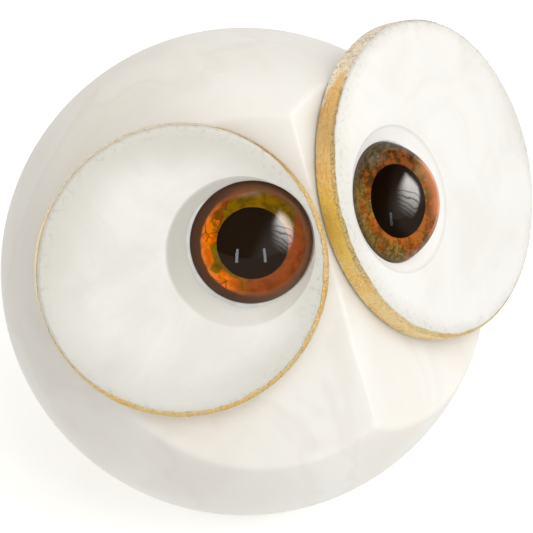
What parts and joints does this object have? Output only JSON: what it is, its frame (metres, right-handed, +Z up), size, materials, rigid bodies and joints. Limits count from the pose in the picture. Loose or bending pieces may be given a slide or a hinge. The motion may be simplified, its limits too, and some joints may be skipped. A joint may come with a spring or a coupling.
{
  "type": "owl figurine",
  "caption": "Alabaster owl: a ball with a ground base, on whose angled flats sit gilt-edged stone discs with domed glass eyes.",
  "frame": {"origin": "middle of the felt pad's underside, on the surface the owl stands on, straight below the ball's centre", "axes": "+Z up; the owl looks along -Y, so +X is its own left side; the two flats are mirror images in the plane X = 0"},
  "size_m": [0.142, 0.1187, 0.1177],
  "materials": {
    "ball_stone": "polished cream-white alabaster with faint clouds and veins",
    "disc_stone": "satin white alabaster",
    "gold_leaf": "hand-laid imitation gold leaf, crinkled and worn at its edge",
    "eye_glass": "clear polished glass",
    "iris_enamel": "amber and olive paint under the glass",
    "pupil_enamel": "black-brown paint under the glass",
    "setting_cement": "milky setting compound",
    "felt": "beige wool felt"
  },
  "bodies": {
    "root": {"body_ball": "ball_stone", "base_pad": "felt", "right_disc": "disc_stone", "right_rim_leaf": "gold_leaf", "right_eye_lens": "eye_glass", "right_eye_iris": "iris_enamel", "right_eye_pupil": "pupil_enamel", "right_eye_bed": "setting_cement", "left_disc": "disc_stone", "left_rim_leaf": "gold_leaf", "left_eye_lens": "eye_glass", "left_eye_iris": "iris_enamel", "left_eye_pupil": "pupil_enamel", "left_eye_bed": "setting_cement"}
  },
  "joints": []
}
